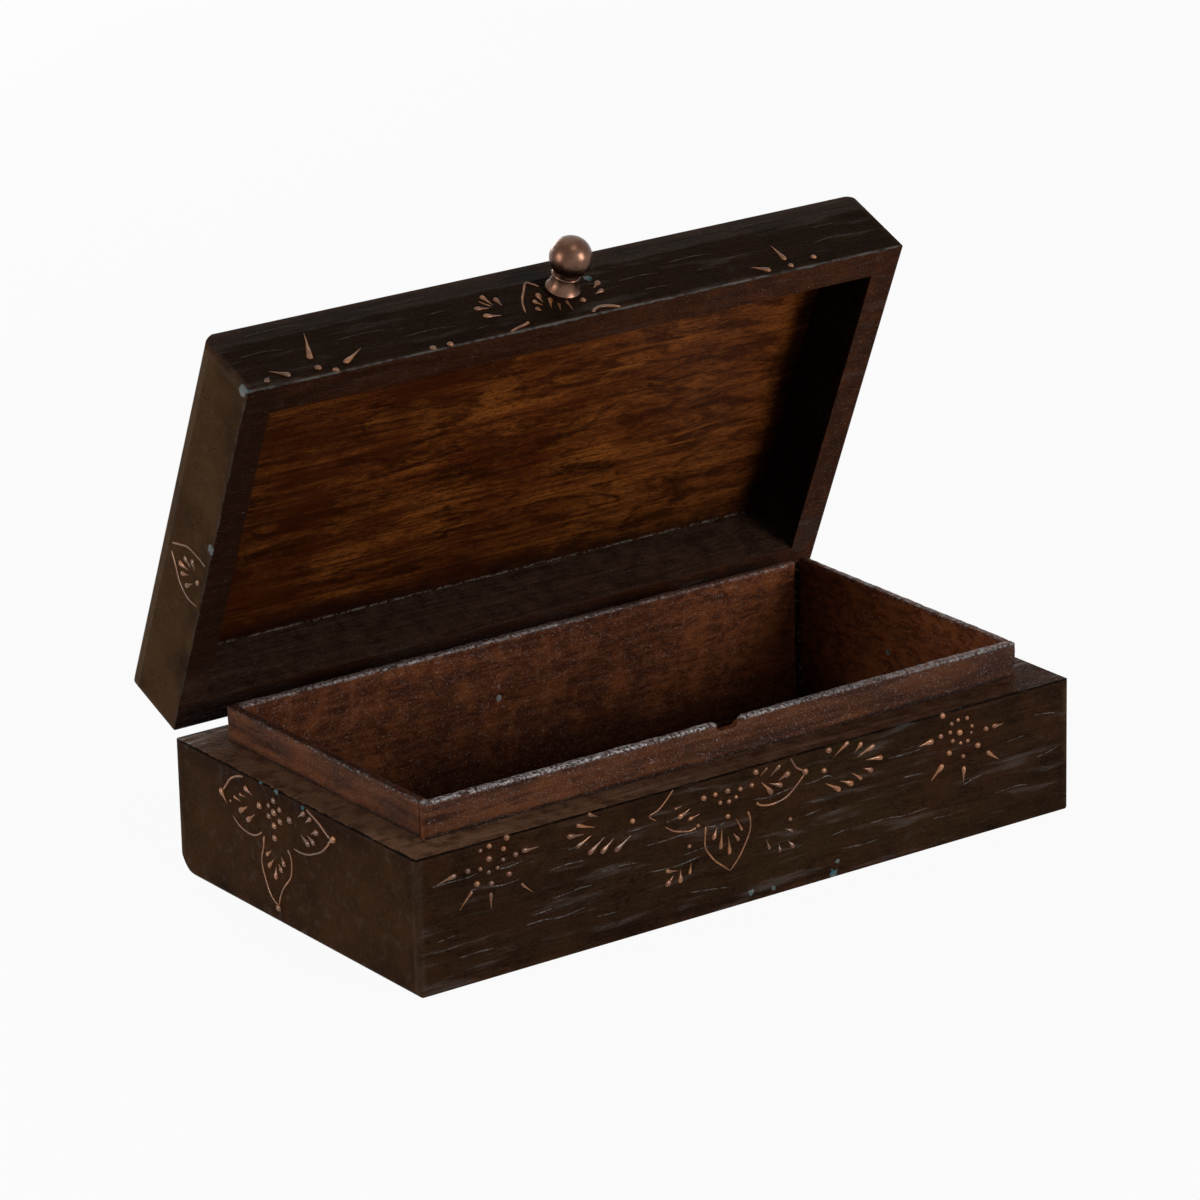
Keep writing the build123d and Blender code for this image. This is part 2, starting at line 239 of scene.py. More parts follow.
def board_material(name, on_lid, spots, glossy=False):
    """Old paint outside and stain inside, told apart by where a point lies on the board, in millimetres."""
    s = Shader(name)
    height = (lid_height if on_lid else base_height) / MM
    if on_lid:
        home = s.mapped(s.place, (MM, MM, MM), (-lid_open, 0, 0), rim_centre, "TEXTURE")
    else:
        home = s.mapped(s.place, (MM, MM, MM), kind="TEXTURE")
    x, y, z = s.split(home)[:3]
    to_end = s.math("SUBTRACT", half_length / MM, s.math("ABSOLUTE", x))
    to_side = s.math("SUBTRACT", half_depth / MM, s.math("ABSOLUTE", y))
    to_flat = s.math("SUBTRACT", height, z) if on_lid else z
    to_rim = z if on_lid else s.math("SUBTRACT", height, z)

    # Painted where the point is on an outer face, with a ragged border at the rim
    ragged = s.noise(home, 0.22, 5, 0.65)
    depth_in = s.math("MINIMUM", s.math("MINIMUM", to_end, to_side), to_flat)
    painted = s.step(s.math("SUBTRACT", s.math("MULTIPLY_ADD", ragged, 1.6, -0.2), depth_in), -0.1, 0.25)
    on_end = s.step(to_end, 0.5, 1.5, 1.0, 0.0)

    # Nearness to the outer edges
    near = s.math("MAXIMUM", s.math("MINIMUM", to_end, to_side),
                  s.math("MINIMUM", s.math("MAXIMUM", to_end, to_side), s.math("MINIMUM", to_flat, to_rim)))
    rub_width = s.math("MULTIPLY_ADD", ragged, 5.0, -1.2)
    rubbed = s.step(s.math("SUBTRACT", near, rub_width), -0.6, 0.8, 1.0, 0.0)

    # Grain, wrinkles and crackle of the paint
    ridges = long_streaks(s, home, 26, 2.6, 6)
    swells = long_streaks(s, home, 30, 4.2, 3, 0.4)
    crackle = crests(s, long_streaks(s, home, 12, 2.2, 3, 0.8), 0.018)
    crackle = s.math("MULTIPLY", crackle, s.step(s.noise(home, 0.09, 2, 0.5), 0.42, 0.6))
    clouds = s.noise(home, 0.035, 5, 0.62)
    mottle = s.noise(home, 0.16, 5, 0.65)
    pores = s.noise(s.mapped(home, scale=(0.5, 2.2, 2.2)), 1.0, 4, 0.65)

    # Outer paint
    long_face = s.mix(s.step(ridges, 0.28, 0.60, 0.35, 1.0), PAINT_DARK, PAINT_BROWN)
    long_face = s.mix(s.math("MULTIPLY", s.step(clouds, 0.46, 0.64), 0.60), long_face, PAINT_RED)
    long_face = s.mix(s.math("MULTIPLY", s.step(mottle, 0.34, 0.58, 1.0, 0.0), 0.35), long_face, PAINT_DARK)
    if on_lid:
        long_face = s.mix(0.62, long_face, (0.0080, 0.0042, 0.0022))
    end_low, end_high = (PAINT_END, PAINT_OLIVE) if on_lid else (BASE_END_LOW, BASE_END_HIGH)
    end_face = s.mix(s.step(clouds, 0.35, 0.62), end_low, end_high)
    end_face = s.mix(s.math("MULTIPLY", s.step(mottle, 0.40, 0.70), 0.45), end_face, PAINT_RED)
    end_face = s.mix(s.math("MULTIPLY", s.step(pores, 0.58, 0.74), 0.35), end_face, PAINT_DARK)
    paint = s.mix(on_end, long_face, end_face)
    cracks = s.math("MULTIPLY", crackle, s.step(on_end, 0.0, 1.0, 0.85, 0.25))
    paint = s.mix(cracks, paint, (0.0040, 0.0022, 0.0013))
    paint = s.mix(s.math("MULTIPLY", s.step(pores, 0.60, 0.78), 0.35), paint, (0.050, 0.031, 0.021))
    upright = s.step(s.math("MAXIMUM", to_end, to_side), 1.2, 3.4, 1.0, 0.0)
    paint = s.mix(s.math("MULTIPLY", rubbed, s.step(mottle, 0.35, 0.60, 0.15, 0.85)), paint,
                  (0.040, 0.0185, 0.0100))
    paint = s.mix(s.math("MULTIPLY", upright, s.step(ragged, 0.36, 0.60, 0.25, 0.9)), paint,
                  (0.052, 0.0300, 0.0180))
    grime = s.math("MULTIPLY", s.step(near, 1.5, 8.0, 1.0, 0.0), s.step(clouds, 0.42, 0.58, 0.5, 0.0))
    paint = s.mix(grime, paint, (0.0060, 0.0030, 0.0018))
    if on_lid:
        # The joint under the top board shows as a pale line, and the rim's front edge is rubbed pale
        off_seam = s.math("ABSOLUTE", s.math("SUBTRACT", z, TOP_SEAM))
        joint = s.math("MULTIPLY", s.step(off_seam, 0.15, 0.7, 1.0, 0.0),
                       s.step(mottle, 0.40, 0.60, 0.1, 0.7))
        joint = s.math("MULTIPLY", joint, s.step(on_end, 0.0, 1.0, 1.0, 0.3))
        paint = s.mix(joint, paint, (0.034, 0.030, 0.026))
        rim_edge = s.math("MULTIPLY", s.step(z, 0.15, 0.75, 1.0, 0.0), s.step(mottle, 0.38, 0.56, 0.2, 1.0))
        rim_edge = s.math("MULTIPLY", rim_edge, s.step(on_end, 0.0, 1.0, 1.0, 0.25))
        paint = s.mix(rim_edge, paint, GROUND_PALE)
    if not on_lid:
        # Broad olive and reddish patches, and a crack along the upper edge where the paint ends
        broad = s.noise(s.mapped(home, scale=(1 / 60, 1 / 22, 1 / 22)), 1.0, 4, 0.6)
        olive = s.math("MULTIPLY", s.step(broad, 0.48, 0.62), s.step(on_end, 0.0, 1.0, 0.50, 0.0))
        paint = s.mix(olive, paint, (0.0255, 0.0142, 0.0056))
        red = s.math("MULTIPLY", s.step(broad, 0.34, 0.46, 1.0, 0.0), s.step(on_end, 0.0, 1.0, 0.5, 0.0))
        paint = s.mix(red, paint, (0.0290, 0.0105, 0.0050))
        crack = s.math("MULTIPLY", s.step(to_rim, 0.35, 0.75, 1.0, 0.0),
                       s.step(mottle, 0.36, 0.50, 0.35, 1.0))
        paint = s.mix(crack, paint, (0.0030, 0.0016, 0.0010))
    # Fine grit in the paint, paler and darker
    amount = s.step(on_end, 0.0, 1.0, 0.55, 0.30)
    grit = s.noise(s.mapped(home, scale=(0.9, 1.7, 1.7)), 1.0, 4, 0.7)
    paint = s.mix(s.math("MULTIPLY", s.step(grit, 0.54, 0.68), amount), paint, (0.050, 0.0290, 0.0170))
    paint = s.mix(s.math("MULTIPLY", s.step(grit, 0.32, 0.46, 1.0, 0.0), amount), paint,
                  (0.0060, 0.0034, 0.0017))
    chips = blots(s, home, spots, ragged)
    chips = s.math("MULTIPLY", chips, 0.75)
    paint = s.mix(chips, paint, s.mix(s.step(ragged, 0.46, 0.60), OLD_BLUE, (0.15, 0.16, 0.15)))

    # Inner stain
    streaks = long_streaks(s, home, 30, 3.2, 6, 0.5)
    stain = s.mix(s.step(streaks, 0.32, 0.70), STAIN_DARK, STAIN_RED)
    stain = s.mix(s.math("MULTIPLY", s.step(mottle, 0.48, 0.72), 0.55), stain, STAIN_PALE)
    stain = s.mix(s.math("MULTIPLY", s.step(pores, 0.56, 0.72), 0.5), stain, UMBER)
    rim = s.math("MULTIPLY", s.step(to_rim, 0.3, 0.9, 1.0, 0.0), 0.0 if on_lid else 0.85)
    rim = s.math("MULTIPLY", rim, s.step(x, -110, 60, 1.0, 0.28))
    stain = s.mix(s.math("MULTIPLY", rim, s.step(mottle, 0.34, 0.56, 0.35, 1.0)), stain,
                  (0.150, 0.077, 0.044))
    if on_lid:
        # Dark stain at the ends and in the hollow, redder along the front rim
        front_rim = s.math("MULTIPLY", s.step(y, -56.0, -52.0, 1.0, 0.0), s.step(to_end, 9.0, 16.0))
        stain = s.mix(s.step(front_rim, 0.0, 1.0, 0.72, 0.30), stain, (0.0095, 0.0042, 0.0026))
        rim_face = s.math("MULTIPLY", s.step(z, 0.3, 1.0, 1.0, 0.0), s.step(x, -90, 90, 0.15, 0.80))
        stain = s.mix(s.math("MULTIPLY", rim_face, s.step(mottle, 0.36, 0.60, 1.0, 0.35)), stain,
                      (0.056, 0.0175, 0.0065))
        hollow_back = s.math("MULTIPLY", s.step(to_side, 9.5, 10.3), s.step(y, 40, 50))
        stain = s.mix(s.math("MULTIPLY", hollow_back, s.step(mottle, 0.36, 0.60, 0.3, 0.9)), stain,
                      (0.036, 0.0190, 0.0120))
    colour = s.mix(painted, stain, paint)

    # Relief, with hardly any grain on the ends
    flat_ends = s.step(s.math("MULTIPLY", on_end, painted), 0.0, 1.0, 1.0, 0.15)
    normal = s.bump(s.math("MULTIPLY", s.math("SUBTRACT", swells, 0.5), flat_ends), 1.2 * MM, 0.8)
    normal = s.bump(s.math("MULTIPLY", s.math("SUBTRACT", ridges, 0.5), flat_ends), 0.8 * MM, 0.9, normal)
    normal = s.bump(s.math("MULTIPLY", crackle, -1.0), 0.22 * MM, 0.8, normal)
    normal = s.bump(mottle, 0.5 * MM, 0.35, normal)
    normal = s.bump(pores, 0.20 * MM, 0.9, normal)
    normal = s.bump(s.noise(home, 1.1, 3, 0.7), 0.16 * MM, 0.8, normal)
    # Shine: crests of the swelling paint catch the light, and fine specks on the inner stain
    crest = s.math("MULTIPLY", s.step(s.math("MULTIPLY_ADD", ridges, 0.5, swells), 0.80, 0.98), flat_ends)
    bare = s.math("SUBTRACT", 1.0, painted)
    specks = s.math("MULTIPLY", s.step(s.noise(home, 1.5, 3, 0.7), 0.60, 0.72), bare)
    sheen = s.math("MULTIPLY_ADD", crest, 0.03 if on_lid else 0.12, 0.005)
    sheen = s.math("MAXIMUM", sheen, s.math("MULTIPLY", specks, 0.8))
    broken = s.step(s.noise(home, 0.45, 4, 0.7), 0.40, 0.62, 0.04, 0.14 if on_lid else 0.55)
    s.put(s.surface.inputs["Specular IOR Level"], broken if glossy else sheen)
    rough = s.step(pores, 0.3, 0.7, 0.30, 0.46)
    return s.finish(colour, rough, normal, specular=None)


def top_board_material():
    """The lid's top board: old paint outside, and amber and chestnut streaks inside, with painted light and shade
    on them.
    """
    s = Shader("amber_streaked_board")
    home = s.mapped(s.place, (MM, MM, MM), (-lid_open, 0, 0), rim_centre, "TEXTURE")
    x, y, z = s.split(home)[:3]
    clouds = s.noise(home, 0.035, 5, 0.62)
    mottle = s.noise(home, 0.16, 5, 0.65)
    pores = s.noise(s.mapped(home, scale=(0.4, 2.6, 2.6)), 1.0, 4, 0.65)
    room_end = s.math("SUBTRACT", half_length / MM - LID_WALL, s.math("ABSOLUTE", x))
    room_side = s.math("SUBTRACT", half_depth / MM - LID_WALL, s.math("ABSOLUTE", y))
    near = s.math("MINIMUM", room_end, room_side)

    # Inside: broad amber bands, fine dark streaks, and painted shade along the walls of the hollow
    bands = s.noise(s.mapped(home, (1 / 95, 1 / 13, 1 / 13), (0, 0, radians(3))), 1.0, 3, 0.55, 0.5)
    streaks = s.noise(s.mapped(home, (1 / 34, 1 / 1.7, 1 / 1.7), (0, 0, radians(3))), 1.0, 5, 0.65, 0.3)
    smears = s.noise(s.mapped(home, (1 / 26, 1 / 7, 1 / 7), (0, 0, radians(-4))), 1.0, 5, 0.68, 1.2)
    inner = s.mix(s.step(bands, 0.34, 0.62), CHESTNUT, AMBER)
    inner = s.mix(s.math("MULTIPLY", s.step(streaks, 0.42, 0.62), 0.80), inner, (0.028, 0.0056, 0.0014))
    inner = s.mix(s.math("MULTIPLY", s.step(smears, 0.46, 0.62), 0.85), inner, (0.0100, 0.0022, 0.0008))
    inner = s.mix(s.math("MULTIPLY", s.step(pores, 0.50, 0.66), 0.75), inner, UMBER)
    inner = s.mix(s.math("MULTIPLY", s.step(mottle, 0.52, 0.70), 0.55), inner, (0.105, 0.034, 0.0070))
    # Paler toward the right end: partly the wood's tone, partly painted light
    right_tone_and_light = s.mix(s.step(smears, 0.40, 0.60), (0.215, 0.064, 0.0140), (0.060, 0.0160, 0.0035))
    inner = s.mix(s.step(x, 0, 105, 0.0, 0.42), inner, right_tone_and_light)
    flecks = s.noise(s.mapped(home, (1 / 2.6, 1 / 0.7, 1 / 0.7)), 1.0, 3, 0.7)
    inner = s.mix(s.math("MULTIPLY", s.step(flecks, 0.50, 0.64), 0.60), inner, (0.0120, 0.0030, 0.0010))
    inner = s.mix(s.math("MULTIPLY", s.step(flecks, 0.30, 0.42, 1.0, 0.0), 0.35), inner,
                  (0.190, 0.062, 0.0140))
    # A deeper red where the stain lies thick, and golden streaks across the middle
    thick = s.math("MULTIPLY", s.step(clouds, 0.40, 0.60), s.step(x, -60, 100, 0.75, 0.25))
    inner = s.mix(thick, inner, (0.042, 0.0078, 0.0018))
    golden = s.noise(s.mapped(home, (1 / 48, 1 / 2.4, 1 / 2.4), (0, 0, radians(3))), 1.0, 4, 0.6, 0.2)
    golden = s.math("MULTIPLY", s.step(golden, 0.56, 0.70), s.step(bands, 0.46, 0.62, 0.04, 0.50))
    inner = s.mix(golden, inner, (0.290, 0.0930, 0.0160))
    # Painted shade: darker toward the left end and toward the back wall of the hollow
    shade_to_left = s.step(x, -125, 40, 0.45, 0.0)
    to_back = s.step(y, 10, 58, 0.0, 0.50)
    inner = s.mix(s.math("MAXIMUM", shade_to_left, to_back), inner, (0.0135, 0.0036, 0.0012))
    # Painted shade: a dark band along the walls of the hollow
    wall_shade = s.step(s.math("MULTIPLY_ADD", mottle, -16, near), -9, 3, 0.85, 0.0)
    inner = s.mix(wall_shade, inner, (0.0080, 0.0028, 0.0013))
    # Varnish that gathered in the corner at the hinge side, with its glint painted in as a pale line: a painted
    # highlight
    from_back = s.math("SUBTRACT", half_depth / MM - LID_WALL, y)
    varnish_glint = s.math("MULTIPLY", s.step(from_back, 0.35, 1.3, 1.0, 0.0),
                      s.step(s.noise(home, 0.5, 5, 0.8), 0.46, 0.56))
    inner = s.mix(varnish_glint, inner, (0.105, 0.088, 0.074))

    # Outside: as the other outer faces
    ridges = long_streaks(s, home, 26, 2.6, 6)
    paint = s.mix(s.step(ridges, 0.34, 0.70), PAINT_DARK, PAINT_BROWN)
    paint = s.mix(s.math("MULTIPLY", s.step(clouds, 0.48, 0.66), 0.5), paint, PAINT_RED)
    paint = s.mix(0.35, paint, (0.0085, 0.0050, 0.0032))
    to_end = s.math("SUBTRACT", half_length / MM, s.math("ABSOLUTE", x))
    to_side = s.math("SUBTRACT", half_depth / MM, s.math("ABSOLUTE", y))
    to_flat = s.math("SUBTRACT", lid_height / MM, z)
    on_end = s.step(to_end, 0.5, 1.5, 1.0, 0.0)
    paint = s.mix(on_end, paint, s.mix(s.step(clouds, 0.35, 0.62), PAINT_END, PAINT_OLIVE))
    edge = s.math("MAXIMUM", s.math("MINIMUM", to_end, to_side),
                  s.math("MINIMUM", s.math("MAXIMUM", to_end, to_side), to_flat))
    rub_width = s.math("MULTIPLY_ADD", mottle, 5.0, -1.2)
    rubbed = s.step(s.math("SUBTRACT", edge, rub_width), -0.6, 0.8, 1.0, 0.0)
    paint = s.mix(s.math("MULTIPLY", rubbed, 0.5), paint, (0.040, 0.0185, 0.0100))
    underside = lid_height / MM - TOP_BOARD
    inside = s.step(z, underside, underside + 0.4, 1.0, 0.0)
    within = s.math("MULTIPLY", inside, s.step(near, -0.6, -0.2))
    colour = s.mix(within, paint, inner)

    normal = s.bump(ridges, 0.8 * MM, 0.5)
    normal = s.bump(streaks, 0.18 * MM, 0.6, normal)
    normal = s.bump(pores, 0.10 * MM, 0.7, normal)
    specks = s.step(s.noise(home, 1.5, 3, 0.7), 0.64, 0.74)
    sheen = s.math("MULTIPLY_ADD", specks, 0.55, 0.03)
    s.put(s.surface.inputs["Specular IOR Level"], sheen)
    return s.finish(colour, s.step(pores, 0.3, 0.7, 0.32, 0.5), normal, specular=None)


def liner_material(name, lengthwise):
    """Reddish brown stain on a liner board, rubbed dark and glossy along the lip's top; a painted highlight on the
    long liners' lip varnish, and painted light and shade on the inner faces.
    """
    s = Shader(name)
    home = s.mapped(s.place, (MM, MM, MM), kind="TEXTURE")
    x, y, z = s.split(home)[:3]
    ribbed = (1 / 40, 1 / 40, 1 / 2.4)
    streaks = s.noise(s.mapped(home, ribbed), 1.0, 6, 0.64, 0.6)
    curls = s.noise(s.mapped(home, (1 / 5, 1 / 5, 1 / 2.0)), 1.0, 5, 0.7, 0.9)
    mottle = s.noise(home, 0.10, 5, 0.65)
    pores = s.noise(s.mapped(home, (0.9, 0.9, 3.0)), 1.0, 4, 0.7)
    colour = s.mix(s.step(streaks, 0.32, 0.70), (0.050, 0.0130, 0.0048), (0.115, 0.0350, 0.0125))
    colour = s.mix(s.math("MULTIPLY", s.step(curls, 0.40, 0.60), 0.72), colour, (0.026, 0.0062, 0.0022))
    colour = s.mix(s.math("MULTIPLY", s.step(mottle, 0.46, 0.68), 0.65), colour, (0.150, 0.0440, 0.0120))
    colour = s.mix(s.math("MULTIPLY", s.step(pores, 0.52, 0.72), 0.65), colour, (0.0120, 0.0035, 0.0016))
    across, outer_face = (y, half_depth / MM - BASE_WALL) if lengthwise else (x, half_length / MM - BASE_WALL)
    inward = s.math("SUBTRACT", outer_face, s.math("ABSOLUTE", across))
    outer = s.step(inward, 0.2, 0.6, 1.0, 0.0)
    worn_face = s.mix(s.step(streaks, 0.34, 0.66), (0.026, 0.0092, 0.0048), (0.096, 0.0345, 0.0160))
    worn_face = s.mix(s.math("MULTIPLY", s.step(mottle, 0.42, 0.62), 0.55), worn_face,
                      (0.066, 0.0205, 0.0080))
    worn_face = s.mix(s.math("MULTIPLY", s.step(pores, 0.52, 0.70), 0.55), worn_face,
                      (0.018, 0.0080, 0.0052))
    patches = s.noise(s.mapped(home, (1 / 22, 1 / 22, 1 / 9)), 1.0, 4, 0.6)
    worn_face = s.mix(s.step(patches, 0.50, 0.66, 0.0, 0.70), worn_face, (0.125, 0.0430, 0.0150))
    worn_face = s.mix(s.step(patches, 0.34, 0.48, 0.75, 0.0), worn_face, (0.030, 0.0135, 0.0085))
    worn_face = s.mix(s.step(x, 10, 100, 0.0, 0.50), worn_face, (0.030, 0.0150, 0.0110))
    colour = s.mix(s.math("MULTIPLY", outer, 0.85), colour, worn_face)
    rim_height = base_height / MM
    low_edge = s.step(s.math("MULTIPLY_ADD", mottle, -3.2, z), rim_height - 1.4, rim_height + 0.2, 0.9, 0.0)
    seat = s.math("MULTIPLY", outer, low_edge)
    colour = s.mix(seat, colour, (0.0110, 0.0050, 0.0034))
    lip_top = s.step(s.math("MULTIPLY_ADD", mottle, 1.2, z), LIP_TOP - 0.7, LIP_TOP + 0.2)
    rub = s.math("MULTIPLY", lip_top, s.step(pores, 0.40, 0.62, 0.45, 0.95))
    colour = s.mix(rub, colour, (0.012, 0.0070, 0.0058))
    if lengthwise:
        # Varnish on top of the lip, with a painted highlight: pale where the varnish is whole, above all left of
        # the front notch
        whole = s.step(s.noise(home, 0.9, 4, 0.7), 0.44, 0.60, 0.0, 0.95)
        share = s.math("MULTIPLY", s.step(x, 0, 40, 1.0, 0.40), s.step(y, -20, 20, 1.0, 0.45))
        varnish_highlight = s.math("MULTIPLY", s.math("MULTIPLY", lip_top, whole), share)
        colour = s.mix(varnish_highlight, colour, (0.40, 0.37, 0.37))
    # Inner faces paler toward the right end: partly the stain's own colour, partly painted light
    inner = s.math("SUBTRACT", 1.0, outer)
    paler_and_lit = s.math("MULTIPLY", inner, s.step(x, 25, 95, 0.0, 0.60))
    paler_and_lit = s.math("MULTIPLY", paler_and_lit, s.step(curls, 0.36, 0.62, 1.0, 0.12))
    paler_and_lit = s.math("MULTIPLY", paler_and_lit, s.step(pores, 0.50, 0.72, 1.0, 0.35))
    colour = s.mix(paler_and_lit, colour, (0.175, 0.0500, 0.0160))
    # Darker low down inside the box: partly the stain's colour, partly painted shade
    low = s.step(s.math("MULTIPLY_ADD", mottle, 18, z), 16, 40, 0.75, 0.0)
    colour = s.mix(low, colour, (0.0150, 0.0042, 0.0018))
    normal = s.bump(streaks, 0.5 * MM, 0.6)
    normal = s.bump(curls, 0.30 * MM, 0.8, normal)
    normal = s.bump(pores, 0.22 * MM, 0.9, normal)
    normal = s.bump(s.noise(home, 1.2, 3, 0.7), 0.16 * MM, 0.8, normal)
    specks = s.step(s.noise(home, 1.6, 3, 0.7), 0.56, 0.70, 0.04, 0.9)
    broken = s.step(s.noise(home, 0.55, 5, 0.75), 0.50, 0.62, 0.015, 1.0)
    sheen = s.math("MAXIMUM", specks, s.math("MULTIPLY", lip_top, broken))
    s.put(s.surface.inputs["Specular IOR Level"], sheen)
    return s.finish(colour, s.step(pores, 0.3, 0.7, 0.24, 0.46), normal, specular=None)


def glue_material():
    """Old glue and dirt, nearly black, with a few pale ragged bits."""
    s = Shader("old_glue")
    home = s.mapped(s.place, (MM, MM, MM), kind="TEXTURE")
    bits = s.step(s.noise(home, 0.45, 4, 0.7), 0.56, 0.62)
    lumps = s.noise(home, 0.30, 4, 0.6)
    colour = s.mix(s.step(lumps, 0.35, 0.65), (0.0030, 0.0014, 0.0009), (0.0110, 0.0050, 0.0030))
    colour = s.mix(bits, colour, (0.110, 0.075, 0.050))
    return s.finish(colour, 0.6, s.bump(lumps, 0.6 * MM, 0.8), specular=0.05)


def metal_material(name, dark, light, rough_low, rough_high):
    """Metal with darker tarnish in soft patches and fine rubbing marks."""
    s = Shader(name)
    patches = s.noise(s.place, 160, 4, 0.6)
    colour = s.mix(s.step(patches, 0.35, 0.7), dark, light)
    normal = s.bump(s.noise(s.place, 1800, 2, 0.5), 0.02 * MM, 0.3)
    rough = s.step(s.noise(s.place, 420, 3, 0.6), 0.3, 0.7, rough_low, rough_high)
    return s.finish(colour, rough, normal, metal=1.0)


def relief_paint_material():
    """Raised copper-coloured paint, paler and darker in random patches, and rubbed darker in places."""
    s = Shader("raised_copper_paint")
    patches = s.noise(s.place, 260, 4, 0.6)
    broad = s.noise(s.place, 45, 3, 0.6)
    colour = s.mix(s.step(patches, 0.35, 0.65), (0.120, 0.038, 0.0105), (0.270, 0.102, 0.032))
    colour = s.mix(s.math("MULTIPLY", s.step(broad, 0.50, 0.64), 0.7), colour, (0.060, 0.024, 0.011))
    normal = s.bump(s.noise(s.place, 1500, 3, 0.6), 0.04 * MM, 0.5)
    return s.finish(colour, s.step(patches, 0.3, 0.7, 0.30, 0.19), normal, metal=0.15, specular=0.45)


# Painted flowers. A stroke is a list of (u, v, half width) in millimetres on its face.
LINE_SHARE = 0.8        # lines are drawn thinner than they look in the photograph, where they blur


def dot(u, v, radius=0.95):
    """A round dab of paint, a little longer than high."""
    turns = [radians(angle) for angle in (0, 25, 55, 90, 125, 155, 180)]
    return [(u - radius * cos(turn), v + 0.25 * radius * cos(turn), radius * sin(turn) + 0.02)
            for turn in turns]


def drop(u, v, tail_u, tail_v, radius=0.95):
    """A dab with a round head at (u, v) that is drawn out into a thin tail."""
    head = Vector((u, v))
    way = Vector((tail_u, tail_v)) - head
    size = way.length
    way.normalize()
    rings = [(-radius, 0.02), (-0.9 * radius, 0.45 * radius), (-0.5 * radius, 0.86 * radius), (0, radius),
             (0.18 * size + 0.3 * radius, 0.80 * radius), (0.42 * size, 0.46 * radius),
             (0.72 * size, 0.26 * radius), (size, 0.06)]
    side = Vector((-way.y, way.x)) * 0.05 * size
    return [(*(head + way * along + side * (along / size) ** 2), width) for along, width in rings]


def line(*points, width=0.32, start=1.0):
    """A thin painted line along smooth joined points, which may start with a blob."""
    places = [Vector(point) for point in points]
    run = []
    for k in range(len(places) - 1):
        before = places[max(k - 1, 0)]
        first, second = places[k], places[k + 1]
        after = places[min(k + 2, len(places) - 1)]
        for t in (0, 0.25, 0.5, 0.75):
            run.append(0.5 * (2 * first + (second - before) * t
                              + (2 * before - 5 * first + 4 * second - after) * t ** 2
                              + (3 * first - before - 3 * second + after) * t ** 3))
    run.append(places[-1])
    last = len(run) - 1
    # A start above 1 swells the first points of a stroke, and the far end thins out
    widths = [LINE_SHARE * width * (1 + (start - 1) * max(0, 1 - k / 3)) * min(1, 0.45 + (last - k) / 5)
              for k in range(last + 1)]
    widths[0] = 0.1
    widths[-1] = 0.05
    return [(p.x, p.y, w) for p, w in zip(run, widths)]


